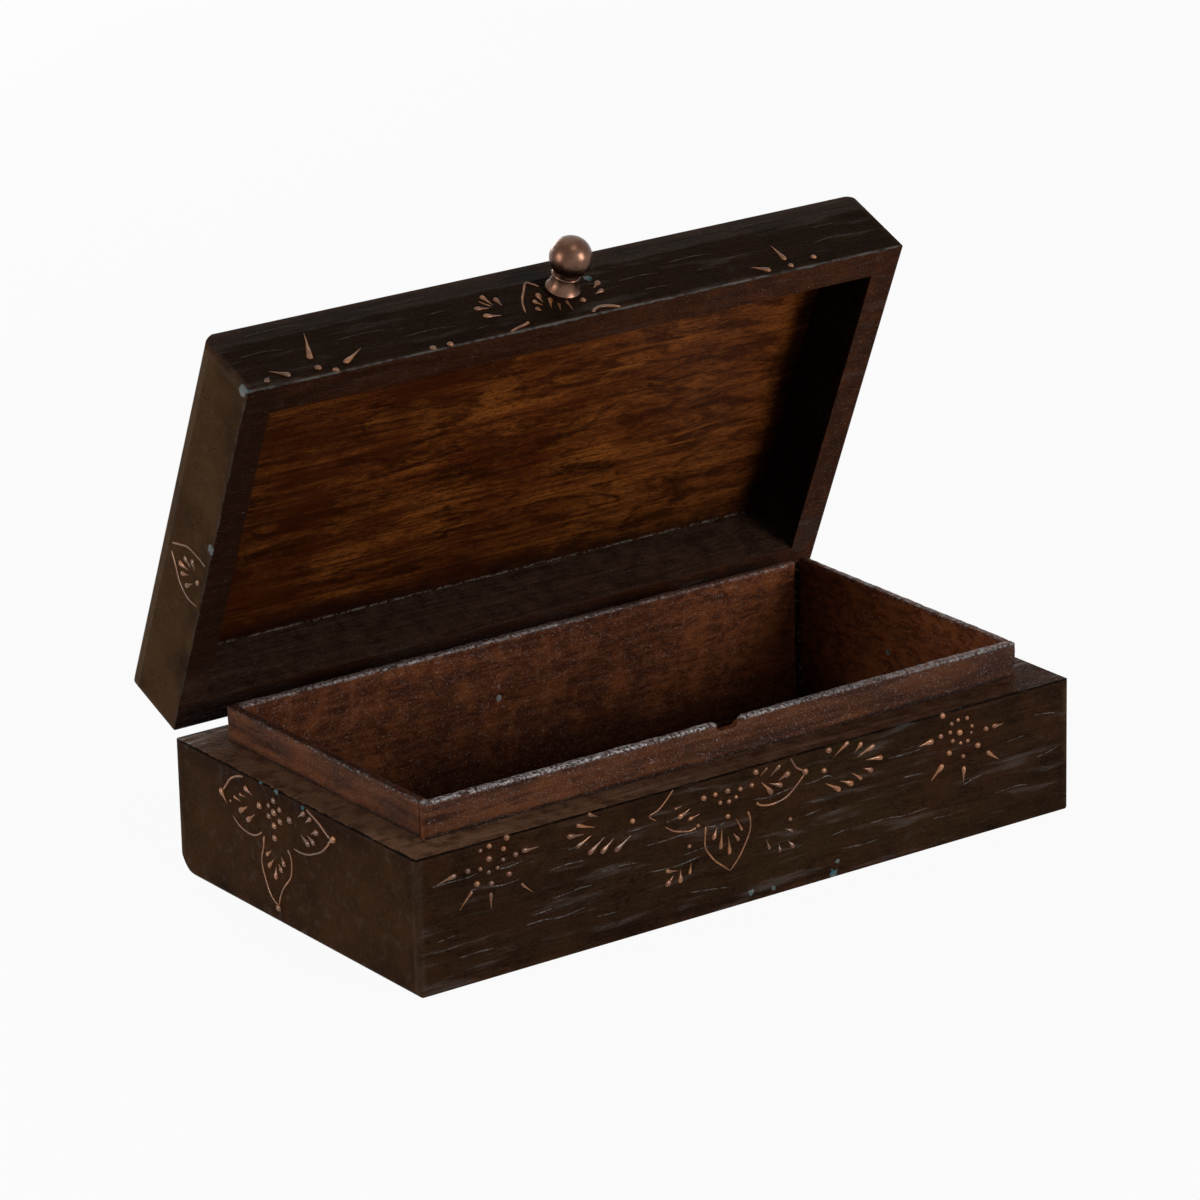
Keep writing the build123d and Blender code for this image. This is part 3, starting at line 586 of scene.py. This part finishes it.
BASE_FRONT_FLOWERS = [
    # rosette at the left
    dot(-101.8, 41.5, 0.8), dot(-98.6, 42.2, 0.95), dot(-92.2, 43.3, 1.1), dot(-93.5, 40.1),
    dot(-98.8, 38.2, 1.15), dot(-93.7, 36.7, 0.8), dot(-89.2, 37.2, 1.0), dot(-106.5, 36.2, 1.0),
    dot(-102.0, 35.7, 0.8), dot(-95.8, 34.6, 0.7), dot(-99.0, 34.0, 0.85), dot(-103.4, 31.3, 1.1),
    dot(-91.7, 31.6, 1.0), dot(-98.2, 30.2, 1.0), drop(-111.5, 35.8, -117.5, 34.8),
    drop(-86.0, 37.7, -80.5, 37.3), drop(-105.5, 29.0, -110, 24.6, 0.6),
    drop(-98.5, 26.6, -98.6, 22.2, 0.8), drop(-87.0, 27.0, -83.5, 23.6, 0.6),
    # half ring of drops
    drop(-69.3, 38.0, -64.2, 37.2, 1.05), drop(-66.2, 40.7, -60.0, 38.4, 0.8),
    drop(-61.9, 43.2, -59.0, 41.8, 0.8), drop(-66.4, 34.2, -61.2, 36.2, 0.9),
    drop(-61.9, 31.2, -56.5, 34.4, 1.1), drop(-57.3, 30.4, -53.0, 33.2, 1.1),
    drop(-52.1, 29.7, -46.7, 32.5, 1.1), dot(-46.1, 37.3, 1.0),
    # the middle flower: heart, left petal, right petal, low petal
    dot(-19.3, 38.2, 1.1), dot(-14.9, 38.3, 0.9), dot(-10.2, 38.4, 1.05), dot(-5.4, 37.8, 0.9),
    dot(-1.0, 38.0, 0.9), dot(-13.1, 35.2, 0.8), dot(-9.8, 34.8, 0.85), dot(-7.0, 35.6, 0.7),
    dot(-10.3, 30.1, 0.95),
    line((-30.8, 43.6), (-33.5, 40.8), (-36.5, 38.4), (-39.8, 37.2), (-37.2, 35.2), width=0.36),
    line((-22.3, 29.3), (-24.5, 28.8), (-28, 29.4), (-31, 30.4), (-34, 32.4), width=0.38, start=1.8),
    drop(-28.3, 34.4, -24.5, 35.8, 1.0), drop(-24.6, 32.7, -20.8, 33.3, 0.7),
    drop(-30.0, 37.3, -27.6, 37.5, 0.45), dot(-21.6, 29.8, 0.7), dot(0.6, 41.9, 1.1),
    drop(4.7, 42.0, 2.3, 40.2, 0.5), drop(9.5, 41.6, 6.0, 39.2, 0.75),
    drop(12.7, 38.4, 9.3, 37.2, 1.15), drop(9.9, 35.4, 6.0, 37.0, 0.95),
    drop(6.2, 34.1, 2.9, 38.2, 1.15),
    line((14.0, 43.2), (16.0, 39.9), (17.8, 38.6), (19.8, 37.6), width=0.5), dot(19.6, 37.5, 1.2),
    line((0.8, 31.8), (2.0, 30.8), (5.0, 30.0), (8.5, 30.0), (12.2, 30.9), (15.0, 32.8), (17.5, 35.0),
         (19.6, 37.0), width=0.46, start=1.7),
    line((-18.7, 28.8), (-19.0, 25.5), (-19.0, 22.0), (-17.2, 19.0), (-15.0, 16.4), (-12.5, 14.4),
         (-9.6, 12.0), width=0.42, start=1.8),
    line((-2.6, 29.8), (-1.7, 27.0), (-1.9, 23.5), (-3.5, 20.0), (-6.0, 16.0), (-8.5, 13.3),
         (-9.6, 12.2), width=0.40, start=1.8),
    drop(-15.7, 24.6, -14.2, 27.6, 1.0), drop(-13.2, 20.8, -12.3, 26.4, 0.9),
    drop(-9.9, 18.3, -9.9, 23.6, 0.85), drop(-6.6, 21.7, -8.2, 24.2, 0.75),
    drop(-5.1, 24.6, -6.9, 28.6, 0.55),
    # sprays beside the low petal
    dot(-25.0, 23.9, 0.75), drop(-33.4, 17.8, -29.4, 16.8, 0.85), drop(-33.4, 13.8, -31.2, 15.6, 1.15),
    drop(-28.7, 13.8, -28.3, 17.2, 1.1), drop(-25.0, 15.4, -24.3, 18.4, 0.7),
    drop(5.3, 15.9, 4.5, 19.0, 0.75), drop(9.4, 14.2, 9.2, 16.2, 0.8),
    drop(14.3, 14.4, 12.7, 16.6, 1.0), drop(14.0, 19.4, 11.5, 20.8, 0.7), dot(13.6, 23.3, 0.8),
    # half ring of drops on the right
    dot(28.8, 42.3, 1.2), dot(26.9, 36.1, 1.0), drop(36.0, 42.9, 30.8, 40.0, 0.85),
    drop(41.2, 41.3, 39.2, 39.4, 1.0), drop(46.0, 39.5, 40.0, 37.7, 1.0),
    drop(49.0, 35.1, 43.5, 35.9, 1.0), drop(45.2, 31.9, 42.4, 33.3, 1.0),
    drop(32.4, 28.6, 27.5, 32.0, 1.05), drop(37.4, 29.3, 33.2, 31.4, 1.05),
    drop(41.2, 30.1, 38.0, 32.8, 0.7),
    # rosette at the right
    dot(73.8, 43.1, 1.1), dot(77.4, 39.6, 0.85), dot(80.0, 40.3, 0.75), dot(83.6, 40.1, 0.8),
    dot(73.0, 36.5, 1.0), dot(76.8, 36.9, 0.85), dot(80.6, 36.0, 1.2), dot(85.6, 37.0, 0.7),
    dot(77.8, 33.8, 0.85), dot(81.0, 32.4, 0.7), dot(83.9, 32.5, 0.8), dot(85.3, 34.9, 0.55),
    dot(91.2, 34.8, 1.0), dot(76.4, 30.1, 1.05), dot(87.9, 30.0, 1.1), dot(82.0, 27.7, 0.9),
    drop(69.2, 35.6, 64.3, 35.3, 1.1), drop(94.6, 34.9, 98.2, 34.7, 0.95),
    drop(73.2, 26.2, 69.0, 22.7, 1.15), drop(82.2, 23.4, 82.0, 18.8, 1.05),
    drop(92.2, 26.5, 96.5, 23.0, 0.95),
]
LEFT_END_FLOWER = [
    line((-27.6, 42.8), (-31.5, 41.7), (-35.0, 39.8), (-37.5, 37.0), (-39.6, 34.8), width=0.5),
    drop(-40.3, 34.3, -37.8, 31.0, 1.15),
    line((-17.8, 27.5), (-20.0, 26.0), (-23.0, 25.0), (-27.0, 25.0), (-31.0, 26.0), (-34.2, 28.0),
         width=0.42),
    drop(-26.0, 39.3, -23.0, 38.0, 1.05), drop(-29.6, 36.4, -26.4, 36.2, 0.5),
    drop(-32.8, 34.6, -29.4, 33.9, 0.6), drop(-29.4, 31.2, -25.6, 33.3, 1.15),
    drop(-25.2, 29.4, -21.4, 32.0, 1.15), dot(-35.3, 32.5, 0.5), dot(-18.5, 36.0, 1.3),
    dot(-13.2, 37.6, 0.9), dot(-10.3, 40.0, 1.15), dot(-7.0, 38.0, 1.05), dot(-10.3, 36.2, 1.4),
    dot(-13.2, 34.2, 1.1), dot(-6.9, 34.2, 1.25), dot(-10.3, 31.8, 1.2), dot(-10.4, 27.8, 1.25),
    dot(-1.5, 36.3, 1.35),
    line((8.0, 42.6), (11.5, 41.4), (15.0, 40.0), (18.0, 38.3), (20.6, 36.9), width=0.55),
    drop(22.5, 37.3, 19.0, 35.2, 1.35),
    line((20.2, 35.4), (18.0, 33.2), (15.5, 31.2), (12.0, 29.5), (8.0, 28.0), (4.0, 27.4), (0.0, 27.5),
         width=0.45),
    drop(6.4, 40.8, 2.8, 38.8, 1.05), drop(9.8, 40.0, 7.0, 38.2, 0.95),
    drop(13.3, 36.7, 10.0, 35.6, 1.2), drop(11.3, 32.9, 7.9, 34.4, 1.05),
    drop(8.3, 31.6, 4.5, 33.4, 1.15),
    line((-16.6, 26.6), (-17.2, 22.5), (-18.3, 19.5), (-18.2, 16.2), (-16.8, 12.8), (-15.0, 9.3),
         (-13.0, 7.2), (-10.4, 5.8), width=0.45, start=2.0),
    line((-3.4, 26.2), (-1.7, 24.0), (-1.5, 20.0), (-2.5, 17.0), (-5.0, 14.3), (-7.3, 11.5),
         (-8.8, 8.5), (-9.6, 5.6), width=0.45, start=2.0),
    dot(-9.8, 5.0, 1.25), drop(-15.1, 21.1, -12.7, 22.9, 0.85), drop(-14.1, 17.7, -11.5, 20.4, 1.0),
    drop(-10.6, 15.2, -10.4, 18.2, 1.15), drop(-7.4, 18.3, -9.0, 19.8, 1.05),
    drop(-5.8, 20.8, -7.3, 22.6, 1.1),
]
LID_FRONT_FLOWERS = [
    drop(-27.4, 18.6, -26.6, 14.2, 0.95), drop(-23.9, 16.2, -23.8, 13.0, 1.05),
    drop(-32.4, 14.1, -28.4, 13.0, 1.0), drop(-31.6, 10.0, -26.6, 8.5, 1.0),
    line((-29.8, 17.2), (-28.6, 15.4), (-27.2, 13.8), width=0.35),
    line((-6.6, 17.8), (-8.2, 20.0), (-9.9, 20.7), (-12.5, 17.6), (-15.3, 14.2), (-17.2, 10.8),
         (-18.3, 7.6), width=0.5),
    drop(-9.4, 14.0, -10.1, 10.4, 1.05), drop(-12.3, 11.5, -10.9, 9.2, 0.9),
    drop(-13.5, 8.0, -12.6, 6.8, 0.95), drop(-6.8, 11.1, -9.0, 7.3, 0.85),
    drop(-5.4, 8.1, -6.7, 5.4, 0.55), drop(-2.2, 8.4, -2.8, 3.9, 0.55), dot(3.3, 7.5, 1.05),
    drop(13.1, 13.8, 10.2, 11.9, 1.15), drop(12.0, 9.9, 8.9, 9.1, 0.95),
    line((2.8, 1.3), (5.0, 2.6), (7.5, 3.0), (10.5, 2.2), (13.4, 0.9), width=0.75, start=1.3),
    line((-20.0, 3.2), (-22.0, 2.4), (-25.5, 1.6), (-28.5, 0.7), width=0.6, start=1.3),
    drop(-96.8, 9.3, -91.6, 20.0, 1.15), dot(-97.2, 3.8, 1.15), drop(-115.8, 3.2, -114.4, 4.4, 1.1),
    drop(-108.2, 3.7, -112.6, 7.1, 1.1), drop(-87.0, 3.8, -78.6, 7.9, 1.05), dot(-92.4, 1.1, 1.0),
    dot(-57.0, 1.2, 1.1), dot(-50.7, 1.2, 1.1), drop(71.8, 2.5, 67.1, 5.8, 1.1),
    drop(80.8, 6.2, 80.9, 13.4, 1.05), dot(80.8, 2.2, 1.0), dot(91.0, 3.8, 1.0),
]
LID_LEFT_FLOWER = [
    line((-6.3, 19.9), (-4.0, 15.9), (-1.9, 11.7), (-1.5, 7.0), (-1.5, 4.0), (-1.8, 1.4), width=0.5),
    line((-9.0, 19.3), (-12.4, 15.5), (-16.0, 11.9), (-18.0, 6.4), (-17.3, 1.1), width=0.5),
    drop(-9.6, 13.4, -9.2, 9.0, 1.1), drop(-6.3, 11.7, -7.6, 8.4, 1.0), drop(-4.8, 7.8, -7.2, 6.0, 1.1),
    drop(-12.2, 11.7, -10.7, 8.6, 0.95), drop(-14.3, 8.2, -11.7, 5.5, 1.1), dot(-9.6, 3.4, 1.1),
]
# Raised wrinkles in the paint of the base's front
FRONT_WRINKLES = [
    line((-119.5, 34.2), (-112, 34.3), (-107, 34.1), (-103, 34.7)),
    line((-95, 34.0), (-91, 33.9), (-86.5, 34.7)),
    line((-106, 29.8), (-100, 29.4), (-94, 28.6), (-88, 29.0)),
    line((-77, 28.9), (-70, 29.4), (-63.5, 29.0)),
    line((-76, 19.7), (-70, 20.2), (-66, 20.6), (-61.5, 20.4)),
    line((-84, 16.2), (-79, 16.4), (-75, 17.0)), line((-120, 13.2), (-115, 13.2), (-107, 13.7)),
    line((-86, 13.5), (-80, 13.8), (-73, 13.0), (-64, 14.0)), line((-118, 16.4), (-112, 16.9)),
    line((-41, 28.1), (-34, 28.0), (-28, 28.3), (-22, 28.0)),
    line((-18, 28.5), (-14, 28.0), (-11.5, 28.4)),
    line((-40, 19.2), (-33, 18.7), (-27, 18.9), (-20, 19.8)),
    line((-27, 21.5), (-22, 22.0), (-17.5, 22.2)), line((-25, 8.7), (-18, 7.9), (-10, 6.8)),
    line((-70, 34.0), (-62, 34.1)), line((-34, 33.7), (-29, 34.3), (-24, 34.7)),
    line((-48, 34.3), (-41, 34.0)), line((0, 33.1), (5, 32.5), (10, 32.9), (15.5, 33.6)),
    line((17.5, 33.5), (23, 33.4), (28, 34.1), (31, 32.8)), line((21, 27.0), (29, 26.6)),
    line((19.5, 23.0), (26, 23.7)), line((45, 14.3), (52, 14.3), (58, 13.6), (68, 13.9)),
    line((52, 34.0), (60, 33.9), (66, 34.3)), line((82, 18.0), (86, 19.2), (91, 19.8)),
    line((112, 20.3), (117, 21.0), (121, 22.2)), line((111, 34.7), (115, 34.3), (119.5, 33.6)),
    line((30, 14.0), (36, 14.7)), line((-110, 9.4), (-103, 9.6), (-96, 9.2)),
    line((-60, 9.8), (-52, 9.4)), line((95, 12.2), (103, 12.6), (108, 12.1)),
    line((58, 26.3), (66, 26.0)), line((100, 28.4), (107, 28.9)),
    line((-58, 23.8), (-50, 23.9), (-44, 23.4)), line((34, 8.6), (42, 8.0), (49, 8.3)),
    line((70, 9.7), (78, 9.3)),
]
LID_WRINKLES = [
    line((-118, 15.5), (-110, 15.9), (-103, 15.2)), line((-84, 13.8), (-74, 14.4), (-66, 13.7)),
    line((-62, 8.8), (-52, 9.3), (-44, 8.6)), line((-50, 16.2), (-40, 16.7)),
    line((20, 12.4), (29, 12.9), (36, 12.1)), line((26, 6.2), (36, 5.7)),
    line((42, 15.9), (52, 16.3), (60, 15.4)), line((48, 9.5), (57, 9.1)), line((62, 11.6), (70, 12.1)),
    line((96, 10.3), (104, 11.0), (112, 10.2)), line((100, 17.2), (110, 17.6)),
    line((-112, 24.2), (-100, 24.8), (-90, 24.1)), line((-70, 24.6), (-58, 24.3)),
    line((30, 24.7), (44, 24.2)), line((70, 24.3), (84, 24.9), (96, 24.4)),
    line((-38, 5.2), (-33, 5.6)),
]


def paint_strokes(name, strokes, origin, across, up, body, finish, relief=0.55):
    """Models strokes as raised paint on the face through origin, and puts them on a body."""
    bpy.ops.object.select_all(action="DESELECT")
    curve = bpy.data.curves.new(name, "CURVE")
    curve.dimensions = "3D"
    curve.bevel_depth = MM
    curve.bevel_resolution = 1
    curve.use_fill_caps = True
    for stroke in strokes:
        spline = curve.splines.new("POLY")
        spline.points.add(len(stroke) - 1)
        for point, (u, v, radius) in zip(spline.points, stroke):
            point.co = (u * MM, v * MM, 0, 1)
            point.radius = radius
    painted = bpy.data.objects.new(name, curve)
    bpy.context.collection.objects.link(painted)
    bpy.context.view_layer.objects.active = painted
    painted.select_set(True)
    bpy.ops.object.convert(target="MESH")
    painted = bpy.context.object
    outward = across.cross(up)
    painted.matrix_world = Matrix((
        (across.x, up.x, outward.x * relief, origin.x),
        (across.y, up.y, outward.y * relief, origin.y),
        (across.z, up.z, outward.z * relief, origin.z),
        (0, 0, 0, 1)))
    bpy.ops.object.transform_apply(location=True, rotation=True, scale=True)
    bpy.ops.object.shade_smooth()
    painted.data.materials.clear()
    painted.data.materials.append(finish)
    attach(painted, body)


def roughen(piece, voxel, dents):
    """Gives a piece an even fine mesh and pushes it in and out by soft dents of (size, height)."""
    finer = piece.modifiers.new("finer", "REMESH")
    finer.mode = "VOXEL"
    finer.voxel_size = voxel
    bpy.ops.object.modifier_apply(modifier=finer.name)
    for size, height in dents:
        clouds = bpy.data.textures.new(piece.name + "_wear", "CLOUDS")
        clouds.noise_scale = size
        wear = piece.modifiers.new("wear", "DISPLACE")
        wear.texture = clouds
        wear.texture_coords = "GLOBAL"
        wear.mid_level = 0.55
        wear.strength = height
        bpy.ops.object.modifier_apply(modifier=wear.name)
    bpy.ops.object.shade_smooth()


def board_copy(node, body, finish, rounding=None):
    """A copy of a board that stands for the plain one: cut to a rounded block, or with worn faces."""
    plain = frame["nodes"][node]
    bpy.ops.object.select_all(action="DESELECT")
    plain.select_set(True)
    bpy.context.view_layer.objects.active = plain
    bpy.ops.object.duplicate()
    board = bpy.context.object
    board.name = node + ("_rounded" if rounding else "_worn")
    # The copy is a piece of its own, so it keeps none of the plain node's properties
    for key in list(board.keys()):
        del board[key]
    if rounding is not None:
        cut = board.modifiers.new("rounding", "BOOLEAN")
        cut.operation = "INTERSECT"
        cut.object = rounding
        bpy.ops.object.modifier_apply(modifier=cut.name)
    else:
        roughen(board, 0.8 * MM, ((14 * MM, 0.55 * MM), (3.2 * MM, 0.40 * MM)))
    board.data.materials.clear()
    board.data.materials.append(finish)
    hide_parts(node)
    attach(board, body)


def lid_block(left_radius):
    """The lid's outer block, whose left upper edge is rounded by wear."""
    bpy.ops.object.select_all(action="DESELECT")
    bpy.ops.mesh.primitive_cube_add(size=1)
    block = bpy.context.object
    block.name = "lid_block"
    block.scale = (2 * half_length + 2 * MM, 2 * half_depth + 2 * MM, lid_height + 1 * MM)
    bpy.ops.object.transform_apply(location=False, rotation=False, scale=True)
    bpy.ops.object.mode_set(mode="EDIT")
    bpy.ops.mesh.select_all(action="DESELECT")
    bpy.ops.object.mode_set(mode="OBJECT")
    for edge in block.data.edges:
        ends = [block.data.vertices[k].co for k in edge.vertices]
        edge.select = all(end.x < 0 and end.z > 0 for end in ends)
    bpy.ops.object.mode_set(mode="EDIT")
    bpy.ops.mesh.select_mode(type="EDGE")
    bpy.ops.mesh.bevel(offset=left_radius + 1 * MM, segments=16)
    bpy.ops.object.mode_set(mode="OBJECT")
    centre = rim_centre + lid_up * (lid_height / 2)
    block.matrix_world = Matrix.Translation(centre) @ Matrix.Rotation(lid_open, 4, "X").inverted()
    bpy.ops.object.transform_apply(location=True, rotation=True, scale=True)
    return block


place_camera()

# Finishes of the CAD pieces
base_boards = board_material("old_paint_base", False, (
    (30.1, -66.5, 1.4, 1.8), (31.8, -66.5, 4.8, 0.8), (-1.8, -66.5, 2.7, 1.1), (7.0, -66.5, 2.1, 0.9),
    (-125, 9.3, 43.6, 1.2), (-125, 17.5, 43.8, 1.1), (-125, -5.8, 42.6, 1.3), (81.0, -66.2, 44, 1.2)))
lid_boards = board_material("old_paint_lid", True, (
    (-125, -65.6, 2.2, 1.7), (-124.0, -66.5, 0.8, 1.1), (-125, 5.2, 23.0, 1.6), (-125, 2.0, 25.0, 1.1),
    (-125, -5.6, 0.8, 1.7), (11.5, -66.5, 16.6, 1.5)))
base_wrinkles = board_material("glossy_wrinkles_base", False, (), True)
lid_wrinkles = board_material("glossy_wrinkles_lid", True, (), True)
top_board = top_board_material()
long_liner = liner_material("stained_long_liner", True)
end_liner = liner_material("stained_end_liner", False)
copper_paint = relief_paint_material()
copper = metal_material("copper_knob", (0.085, 0.041, 0.026), (0.150, 0.083, 0.057), 0.26, 0.40)
old_brass = metal_material("tarnished_brass", (0.12, 0.085, 0.040), (0.30, 0.215, 0.10), 0.35, 0.55)
steel = metal_material("dull_steel", (0.10, 0.095, 0.09), (0.26, 0.25, 0.24), 0.40, 0.60)
finishes = {
    "painted_wood": base_boards, "stained_wood": long_liner, "nail_steel": steel,
    "screw_steel": steel, "hinge_brass": old_brass, "knob_copper": copper,
}
slots = {part["node"]: part["material_slot"] for part in frame["record"]["subparts"]}
for node, piece in frame["nodes"].items():
    finish = finishes[slots[node]]
    if node == "lid_top_board":
        finish = top_board
    elif node.startswith("lid_") and slots[node] == "painted_wood":
        finish = lid_boards
    elif node in ("left_liner", "right_liner"):
        finish = end_liner
    piece.data.materials.clear()
    piece.data.materials.append(finish)

# Worn liners, and lid boards rounded at the left, in place of the plain ones
block = lid_block(8 * MM)
for node in ("lid_front_wall", "lid_left_wall", "lid_back_wall", "lid_top_board"):
    board_copy(node, "lid", frame["nodes"][node].data.materials[0], block)
for node in ("front_liner", "back_liner", "left_liner", "right_liner"):
    board_copy(node, "base", frame["nodes"][node].data.materials[0])
bpy.data.objects.remove(block)

# Dark old glue left standing in the gap at the right end of the back liner
liner_points = [vertex.co for vertex in frame["nodes"]["back_liner"].data.vertices]
gap_left = max(point.x for point in liner_points)
gap_right = min(vertex.co.x for vertex in frame["nodes"]["right_liner"].data.vertices)
glue_back = max(point.y for point in liner_points) - 0.1 * MM
glue_low = min(point.z for point in liner_points) + 0.3 * MM
glue_high = max(point.z for point in liner_points) - 0.9 * MM
bpy.ops.object.select_all(action="DESELECT")
bpy.ops.mesh.primitive_cube_add(size=1, location=(
    (gap_left + gap_right) / 2, glue_back - 0.7 * MM, (glue_low + glue_high) / 2))
glue = bpy.context.object
glue.name = "gap_glue"
glue.scale = (gap_right - gap_left + 0.1 * MM, 1.4 * MM, glue_high - glue_low)
bpy.ops.object.transform_apply(location=True, rotation=True, scale=True)
roughen(glue, 0.4 * MM, ((5 * MM, 1.2 * MM), (1.4 * MM, 0.7 * MM)))
glue.data.materials.append(glue_material())
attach(glue, "base")

# Flowers and wrinkles on the base
front_face = Vector((0, -half_depth, 0))
left_face = Vector((-half_length, 0, 0))
right_face = Vector((half_length, 0, 0))
to_front = Vector((0, -1, 0))
to_back = Vector((0, 1, 0))
straight_up = Vector((0, 0, 1))
paint_strokes("front_flowers", BASE_FRONT_FLOWERS, front_face, to_right, straight_up, "base", copper_paint)
paint_strokes("left_end_flower", LEFT_END_FLOWER, left_face, to_front, straight_up, "base", copper_paint)
paint_strokes("right_end_flower", LEFT_END_FLOWER, right_face, to_back, straight_up, "base", copper_paint)
paint_strokes("front_wrinkles", FRONT_WRINKLES, front_face, to_right, straight_up, "base",
              base_wrinkles, 0.6)

# Flowers and wrinkles on the lid
lid_front_face = rim_centre + lid_front * half_depth
lid_left_face = rim_centre - to_right * half_length
lid_right_face = rim_centre + to_right * half_length
paint_strokes("lid_front_flowers", LID_FRONT_FLOWERS, lid_front_face, to_right, lid_up, "lid", copper_paint)
paint_strokes("lid_left_flower", LID_LEFT_FLOWER, lid_left_face, lid_front, lid_up, "lid", copper_paint)
paint_strokes("lid_right_flower", LID_LEFT_FLOWER, lid_right_face, -lid_front, lid_up, "lid", copper_paint)
paint_strokes("lid_wrinkles", LID_WRINKLES, lid_front_face, to_right, lid_up, "lid", lid_wrinkles, 0.5)

# Floor, world and lights
bpy.ops.mesh.primitive_plane_add(size=8, location=(0, 0, -0.2 * MM))
floor = bpy.context.object
floor.name = "floor"
floor_shader = Shader("pale_floor")
floor_tree = floor_shader.tree
rays = floor_shader.new("ShaderNodeLightPath")
glow = floor_shader.new("ShaderNodeEmission")
seen = floor_shader.new("ShaderNodeMixShader")
floor_shader.surface.inputs["Base Color"].default_value = (0.55, 0.55, 0.55, 1)
floor_shader.surface.inputs["Roughness"].default_value = 0.9
floor_shader.surface.inputs["Specular IOR Level"].default_value = 0.1
shown = floor_shader.math("MAXIMUM", rays.outputs["Is Camera Ray"], rays.outputs["Is Glossy Ray"])
shown = floor_shader.math("MAXIMUM", shown, rays.outputs["Is Transmission Ray"])
share = floor_shader.math("MULTIPLY", shown, 0.94)
floor_tree.links.new(share, seen.inputs[0])
floor_tree.links.new(floor_shader.surface.outputs[0], seen.inputs[1])
floor_tree.links.new(glow.outputs[0], seen.inputs[2])
floor_tree.links.new(seen.outputs[0], floor_tree.nodes["Material Output"].inputs[0])
floor.data.materials.append(floor_shader.material)

world = bpy.data.worlds.new("studio")
bpy.context.scene.world = world
world.use_nodes = True
tree = world.node_tree
background = tree.nodes["Background"]
rays = tree.nodes.new("ShaderNodeLightPath")
either = tree.nodes.new("ShaderNodeMath")
either.operation = "MAXIMUM"
strength = tree.nodes.new("ShaderNodeMapRange")
tree.links.new(rays.outputs["Is Camera Ray"], either.inputs[0])
tree.links.new(rays.outputs["Is Transmission Ray"], either.inputs[1])
glossy = tree.nodes.new("ShaderNodeMath")
glossy.operation = "MAXIMUM"
tree.links.new(either.outputs[0], glossy.inputs[0])
tree.links.new(rays.outputs["Is Glossy Ray"], glossy.inputs[1])
tree.links.new(glossy.outputs[0], strength.inputs["Value"])
strength.inputs["To Min"].default_value = 0.12
strength.inputs["To Max"].default_value = 1.0
tree.links.new(strength.outputs["Result"], background.inputs["Strength"])
background.inputs["Color"].default_value = (1, 1, 1, 1)

place_light("key_box", 24, 14, 1.4, (0.45, 0.6), 14)
place_light("side_box", -101, 10, 1.4, (0.4, 0.6), 13)
place_light("top_box", 0, 62, 1.5, (0.7, 0.4), 3)
place_light("back_box", 172, 12, 1.6, (0.7, 0.5), 9)
bpy.context.scene.view_settings.view_transform = "Standard"
